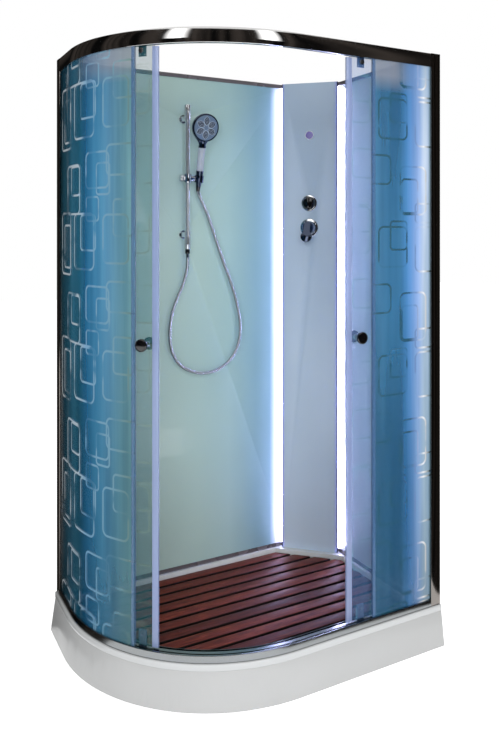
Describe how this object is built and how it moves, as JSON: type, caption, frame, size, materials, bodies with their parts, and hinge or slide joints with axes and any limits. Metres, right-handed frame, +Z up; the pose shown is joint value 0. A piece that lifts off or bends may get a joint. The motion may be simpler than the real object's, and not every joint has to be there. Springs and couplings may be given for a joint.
{
  "type": "shower cabin",
  "caption": "Open-topped corner shower cabin on a low tray: curved swinging door, flat sliding door, patterned side glass, corner column with mixer, riser rail and hand shower.",
  "frame": {"origin": "on the floor, in the middle of the footprint", "axes": "+X along the long back wall towards the column, +Y towards the long back wall, +Z up"},
  "size_m": [1.216, 0.816, 2.15],
  "materials": {
    "acrylic": "glossy white sanitary acrylic",
    "skirt": "satin white panel",
    "steel_frame": "zinc grey",
    "foot_metal": "zinc plated",
    "chrome": "polished",
    "plated_plastic": "plated moulding",
    "grey_plastic": "moulded",
    "white_plastic": "moulded",
    "deck_wood": "oiled dark hardwood",
    "black_rubber": "moulded",
    "rail_chrome": "bright chromed extrusion",
    "patterned_glass": "tinted, with a clear etched pattern",
    "door_glass": "clear tempered",
    "clear_seal": "translucent flexible strip",
    "black_knob": "polished black",
    "wall_glass": "back-painted satin glass",
    "dark_profile": "dark bright extrusion",
    "column_shell": "satin moulding",
    "light": "lit diffuser",
    "plaque": "plain enamel",
    "brass": "cast",
    "face_plastic": "blue grey",
    "hose_metal": "ribbed metal sleeve"
  },
  "bodies": {
    "cabin": {"tray": "acrylic", "tray_skirt": "skirt", "tray_frame": "steel_frame", "tray_feet": "foot_metal", "waste_flange": "chrome", "waste_trap": "white_plastic", "left_post": "rail_chrome", "right_post": "rail_chrome", "head_rail": "rail_chrome", "sill_rail": "rail_chrome", "fixed_glass_left": "patterned_glass", "fixed_glass_right": "patterned_glass", "fixed_seal_left": "clear_seal", "fixed_seal_right": "clear_seal", "long_wall_glass": "wall_glass", "short_wall_glass": "wall_glass", "long_wall_frame": "dark_profile", "short_wall_frame": "dark_profile", "column_cover": "column_shell", "column_frame": "steel_frame", "light_strips": "light", "plaque": "plaque", "mixer_valve": "brass", "mixer_plate": "chrome", "diverter_plate": "chrome", "feed_pipe": "hose_metal", "riser_rail": "chrome", "riser_brackets": "chrome", "shower_hose": "hose_metal", "hose_nut_rail": "black_knob", "post_screws": "foot_metal"},
    "waste_cover": {"waste_cover": "chrome"},
    "deck": {"deck_slats": "deck_wood", "deck_battens": "deck_wood", "deck_pads": "black_rubber"},
    "left_door": {"door_glass_left": "door_glass", "magnet_strip_left": "clear_seal", "rear_seal_left": "clear_seal", "door_knob_left": "black_knob", "hangers_left": "foot_metal", "guides_left": "grey_plastic"},
    "right_door": {"door_glass_right": "door_glass", "magnet_strip_right": "clear_seal", "rear_seal_right": "clear_seal", "door_knob_right": "black_knob", "hangers_right": "foot_metal", "guides_right": "grey_plastic"},
    "roller_left_front": {"roller_left_front": "white_plastic"},
    "roller_left_rear": {"roller_left_rear": "white_plastic"},
    "roller_right_front": {"roller_right_front": "white_plastic"},
    "roller_right_rear": {"roller_right_rear": "white_plastic"},
    "mixer_dome": {"mixer_dome": "chrome"},
    "mixer_lever": {"mixer_lever": "chrome"},
    "diverter_knob": {"diverter_knob": "black_knob"},
    "slider": {"slider": "chrome"},
    "clamp_knob": {"clamp_knob": "chrome"},
    "handset": {"handset_cradle": "black_knob", "handset_body": "plated_plastic", "hose_nut_handset": "black_knob"},
    "spray_face": {"handset_face": "face_plastic"}
  },
  "joints": [
    {"name": "left_door_swing", "type": "hinge", "parent": "cabin", "child": "left_door", "pos_m": [0.008, 0.208, 0], "axis": [0, 0, 1], "range_deg": [0, 45.45]},
    {"name": "right_door_slide", "type": "slide", "parent": "cabin", "child": "right_door", "axis": [-1, 0, 0], "range_m": [0, 0.1955]},
    {"name": "left_front_roller_turn", "type": "hinge", "parent": "left_door", "child": "roller_left_front", "pos_m": [-0.43448, -0.14253, 2.1238], "axis": [0.7838, 0.621, 0], "continuous": true},
    {"name": "left_rear_roller_turn", "type": "hinge", "parent": "left_door", "child": "roller_left_rear", "pos_m": [-0.55647, 0.20209, 2.1238], "axis": [0.9999, 0.0105, 0], "continuous": true},
    {"name": "right_front_roller_turn", "type": "hinge", "parent": "right_door", "child": "roller_right_front", "pos_m": [0.268, -0.3565, 2.1238], "axis": [0, 1, 0], "continuous": true},
    {"name": "right_rear_roller_turn", "type": "hinge", "parent": "right_door", "child": "roller_right_rear", "pos_m": [0.4775, -0.3565, 2.1238], "axis": [0, 1, 0], "continuous": true},
    {"name": "mixer_turn", "type": "hinge", "parent": "cabin", "child": "mixer_dome", "pos_m": [0.44476, 0.25976, 1.519], "axis": [-0.7071, -0.7071, 0], "range_deg": [-50, 50]},
    {"name": "mixer_lift", "type": "hinge", "parent": "mixer_dome", "child": "mixer_lever", "pos_m": [0.4391, 0.2541, 1.519], "axis": [-0.7071, 0.7071, 0], "range_deg": [0, 22]},
    {"name": "diverter_turn", "type": "hinge", "parent": "cabin", "child": "diverter_knob", "pos_m": [0.44476, 0.25976, 1.625], "axis": [-0.7071, -0.7071, 0], "range_deg": [-60, 60]},
    {"name": "slider_travel", "type": "slide", "parent": "cabin", "child": "slider", "axis": [0, 0, 1], "range_m": [-0.18, 0.15], "deforming": ["shower_hose"]},
    {"name": "clamp_knob_turn", "type": "hinge", "parent": "slider", "child": "clamp_knob", "pos_m": [-0.095, 0.313, 1.716], "axis": [-1, 0, 0], "range_deg": [0, 90]},
    {"name": "handset_tilt", "type": "hinge", "parent": "slider", "child": "handset", "pos_m": [-0.095, 0.313, 1.716], "axis": [1, 0, 0], "range_deg": [-8, 24]},
    {"name": "spray_face_turn", "type": "hinge", "parent": "handset", "child": "spray_face", "pos_m": [-0.045, 0.24813, 1.91419], "axis": [0, -0.9703, -0.2419], "range_deg": [-30, 30]},
    {"name": "deck_lift_out", "type": "slide", "parent": "cabin", "child": "deck", "axis": [0, 0, 1], "range_m": [0, 0.15]},
    {"name": "waste_cover_lift", "type": "slide", "parent": "cabin", "child": "waste_cover", "axis": [0, 0, 1], "range_m": [0, 0.012]}
  ],
  "couplings": [
    {"joint": "left_front_roller_turn", "follows": "left_door_swing", "ratio": 62.722},
    {"joint": "left_rear_roller_turn", "follows": "left_door_swing", "ratio": 62.722},
    {"joint": "right_front_roller_turn", "follows": "right_door_slide", "rad_per_m": -111.11},
    {"joint": "right_rear_roller_turn", "follows": "right_door_slide", "rad_per_m": -111.11}
  ]
}
